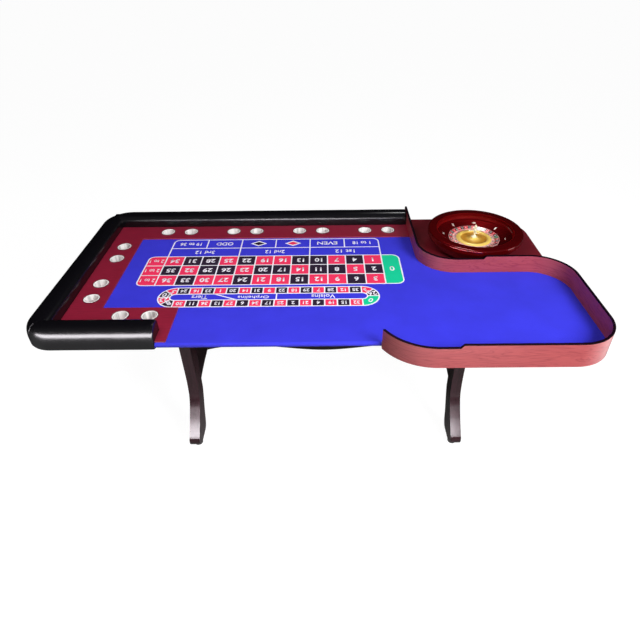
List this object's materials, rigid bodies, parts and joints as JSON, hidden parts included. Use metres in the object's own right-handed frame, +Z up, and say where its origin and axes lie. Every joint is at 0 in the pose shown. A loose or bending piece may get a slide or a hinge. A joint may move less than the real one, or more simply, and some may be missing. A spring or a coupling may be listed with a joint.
{
  "type": "roulette table",
  "caption": "Roulette table with a padded rail, drop-in drink cups, a bent-wood chip fence, printed felt and a spinning wheel on a side shelf, on two trestles.",
  "frame": {"origin": "centre of the footprint's bounding box, on the floor", "axes": "+X along the table towards the wheel, +Y from the dealer's side towards the players, +Z up"},
  "size_m": [2.736, 1.47, 0.982],
  "materials": {
    "bolt_steel": "black oxide",
    "bowl_mahogany": "high-gloss lacquer",
    "cone_brass": "polished",
    "core_wood": "raw softwood",
    "cup_steel": "polished",
    "deck_ply": "raw plywood",
    "deflector_chrome": "polished",
    "edge_band": "satin",
    "felt_blue": "woven wool felt",
    "fence_wood": "satin mahogany veneer",
    "foam_grey": "closed-cell foam",
    "frame_mahogany": "satin lacquer",
    "fret_metal": "polished",
    "glide_plastic": "moulded",
    "leg_mahogany": "gloss lacquer",
    "number_ring": "printed lacquer",
    "pad_rubber": "moulded",
    "pocket_metal": "painted pockets",
    "rail_vinyl": "glossy black vinyl over foam",
    "rotor_board": "lacquer",
    "shelf_laminate": "satin lacquer",
    "spindle_steel": "ground",
    "track_burgundy": "satin lacquer",
    "track_mahogany": "high-gloss lacquer",
    "turret_brass": "polished"
  },
  "bodies": {
    "table": {"bearer_left": "frame_mahogany", "bearer_right": "frame_mahogany", "deck_board": "deck_ply", "end_panel_left": "frame_mahogany", "end_panel_right": "frame_mahogany", "felt_cloth": "felt_blue", "fence_back": "fence_wood", "fence_bay": "fence_wood", "fence_edge_band": "edge_band", "fence_front": "fence_wood", "foam_underlay": "foam_grey", "frame_bolts": "bolt_steel", "glide_left_dealer": "glide_plastic", "glide_left_player": "glide_plastic", "glide_right_dealer": "glide_plastic", "glide_right_player": "glide_plastic", "leg_left_dealer": "leg_mahogany", "leg_left_player": "leg_mahogany", "leg_right_dealer": "leg_mahogany", "leg_right_player": "leg_mahogany", "nose_moulding": "core_wood", "rail_core_back": "core_wood", "rail_core_front": "core_wood", "rail_core_left": "core_wood", "rail_pad_back": "rail_vinyl", "rail_pad_front": "rail_vinyl", "rail_pad_left": "rail_vinyl", "stretcher": "frame_mahogany", "track_board": "track_burgundy", "wheel_platform": "shelf_laminate"},
    "wheel_bowl": {"wheel_pads": "pad_rubber", "wheel_base": "rotor_board", "bowl_shell": "bowl_mahogany", "bowl_apron": "bowl_mahogany", "ball_track": "track_mahogany", "deflectors": "deflector_chrome", "spindle": "spindle_steel"},
    "rotor": {"bearings": "spindle_steel", "rotor_body": "rotor_board", "number_ring": "number_ring", "pocket_ring": "pocket_metal", "fret_ring": "fret_metal", "rotor_cone": "cone_brass", "turret": "turret_brass"},
    "cup_01": {"steel_cup_01": "cup_steel"},
    "cup_02": {"steel_cup_02": "cup_steel"},
    "cup_03": {"steel_cup_03": "cup_steel"},
    "cup_04": {"steel_cup_04": "cup_steel"},
    "cup_05": {"steel_cup_05": "cup_steel"},
    "cup_06": {"steel_cup_06": "cup_steel"},
    "cup_07": {"steel_cup_07": "cup_steel"},
    "cup_08": {"steel_cup_08": "cup_steel"},
    "cup_09": {"steel_cup_09": "cup_steel"},
    "cup_10": {"steel_cup_10": "cup_steel"},
    "cup_11": {"steel_cup_11": "cup_steel"},
    "cup_12": {"steel_cup_12": "cup_steel"},
    "cup_13": {"steel_cup_13": "cup_steel"},
    "cup_14": {"steel_cup_14": "cup_steel"}
  },
  "joints": [
    {"name": "bowl_lift", "type": "slide", "parent": "table", "child": "wheel_bowl", "axis": [0, 0, 1], "range_m": [0, 0.15]},
    {"name": "rotor_spin", "type": "hinge", "parent": "wheel_bowl", "child": "rotor", "pos_m": [0.947, 0.336, 0.84], "axis": [0, 0, 1], "continuous": true},
    {"name": "steel_cup_01_lift", "type": "slide", "parent": "table", "child": "cup_01", "axis": [0, 0, 1], "range_m": [0, 0.09]},
    {"name": "steel_cup_02_lift", "type": "slide", "parent": "table", "child": "cup_02", "axis": [0, 0, 1], "range_m": [0, 0.09]},
    {"name": "steel_cup_03_lift", "type": "slide", "parent": "table", "child": "cup_03", "axis": [0, 0, 1], "range_m": [0, 0.09]},
    {"name": "steel_cup_04_lift", "type": "slide", "parent": "table", "child": "cup_04", "axis": [0, 0, 1], "range_m": [0, 0.09]},
    {"name": "steel_cup_05_lift", "type": "slide", "parent": "table", "child": "cup_05", "axis": [0, 0, 1], "range_m": [0, 0.09]},
    {"name": "steel_cup_06_lift", "type": "slide", "parent": "table", "child": "cup_06", "axis": [0, 0, 1], "range_m": [0, 0.09]},
    {"name": "steel_cup_07_lift", "type": "slide", "parent": "table", "child": "cup_07", "axis": [0, 0, 1], "range_m": [0, 0.09]},
    {"name": "steel_cup_08_lift", "type": "slide", "parent": "table", "child": "cup_08", "axis": [0, 0, 1], "range_m": [0, 0.09]},
    {"name": "steel_cup_09_lift", "type": "slide", "parent": "table", "child": "cup_09", "axis": [0, 0, 1], "range_m": [0, 0.09]},
    {"name": "steel_cup_10_lift", "type": "slide", "parent": "table", "child": "cup_10", "axis": [0, 0, 1], "range_m": [0, 0.09]},
    {"name": "steel_cup_11_lift", "type": "slide", "parent": "table", "child": "cup_11", "axis": [0, 0, 1], "range_m": [0, 0.09]},
    {"name": "steel_cup_12_lift", "type": "slide", "parent": "table", "child": "cup_12", "axis": [0, 0, 1], "range_m": [0, 0.09]},
    {"name": "steel_cup_13_lift", "type": "slide", "parent": "table", "child": "cup_13", "axis": [0, 0, 1], "range_m": [0, 0.09]},
    {"name": "steel_cup_14_lift", "type": "slide", "parent": "table", "child": "cup_14", "axis": [0, 0, 1], "range_m": [0, 0.09]}
  ]
}
